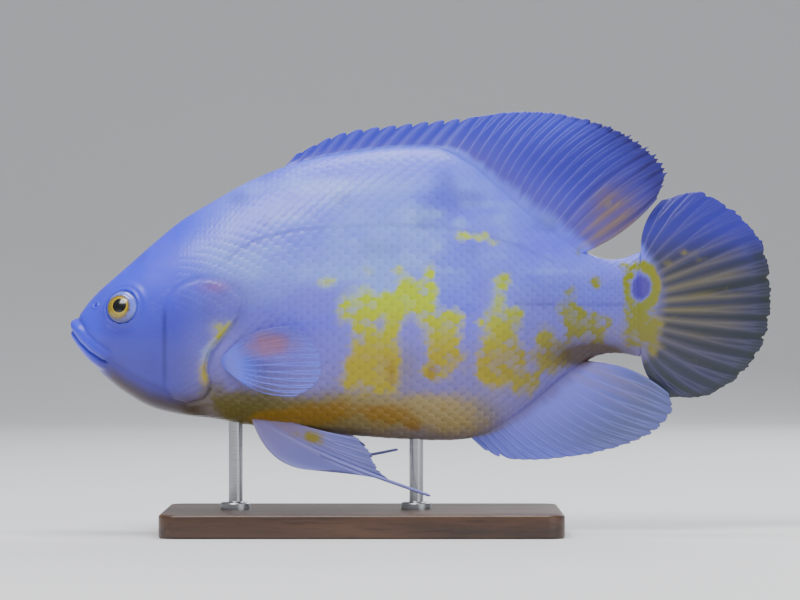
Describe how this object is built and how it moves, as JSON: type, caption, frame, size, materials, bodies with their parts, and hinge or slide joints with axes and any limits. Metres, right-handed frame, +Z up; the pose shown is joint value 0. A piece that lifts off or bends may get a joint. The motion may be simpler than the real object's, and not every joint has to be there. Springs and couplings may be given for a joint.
{
  "type": "oscar fish display model",
  "caption": "Life-size still model of a pale lilac oscar with yellow blotches, swimming level, held by two steel rods over a flat wooden base.",
  "frame": {"origin": "centre of the bounding box at the base's underside, under the middle of the fish", "axes": "-X toward the snout, +X toward the tail fin, +Z up, -Y toward the fish's left side"},
  "size_m": [0.301, 0.104, 0.1804],
  "materials": {
    "skin": "satin, wet-looking",
    "fin": "thin, see-through",
    "eye": "gloss",
    "base": "satin",
    "rod": "brushed"
  },
  "bodies": {
    "root": {"head": "skin", "lower_jaw": "skin", "torso": "skin", "tail_stem": "skin", "gill_cover_left": "skin", "gill_cover_right": "skin", "eye_left": "eye", "eye_right": "eye", "dorsal_fin": "fin", "anal_fin": "fin", "tail_fin": "fin", "pectoral_fin_left": "fin", "pectoral_fin_right": "fin", "pelvic_fin_left": "fin", "pelvic_fin_right": "fin", "stand_base": "base", "stand_rod_front": "rod", "stand_rod_rear": "rod"}
  },
  "joints": []
}
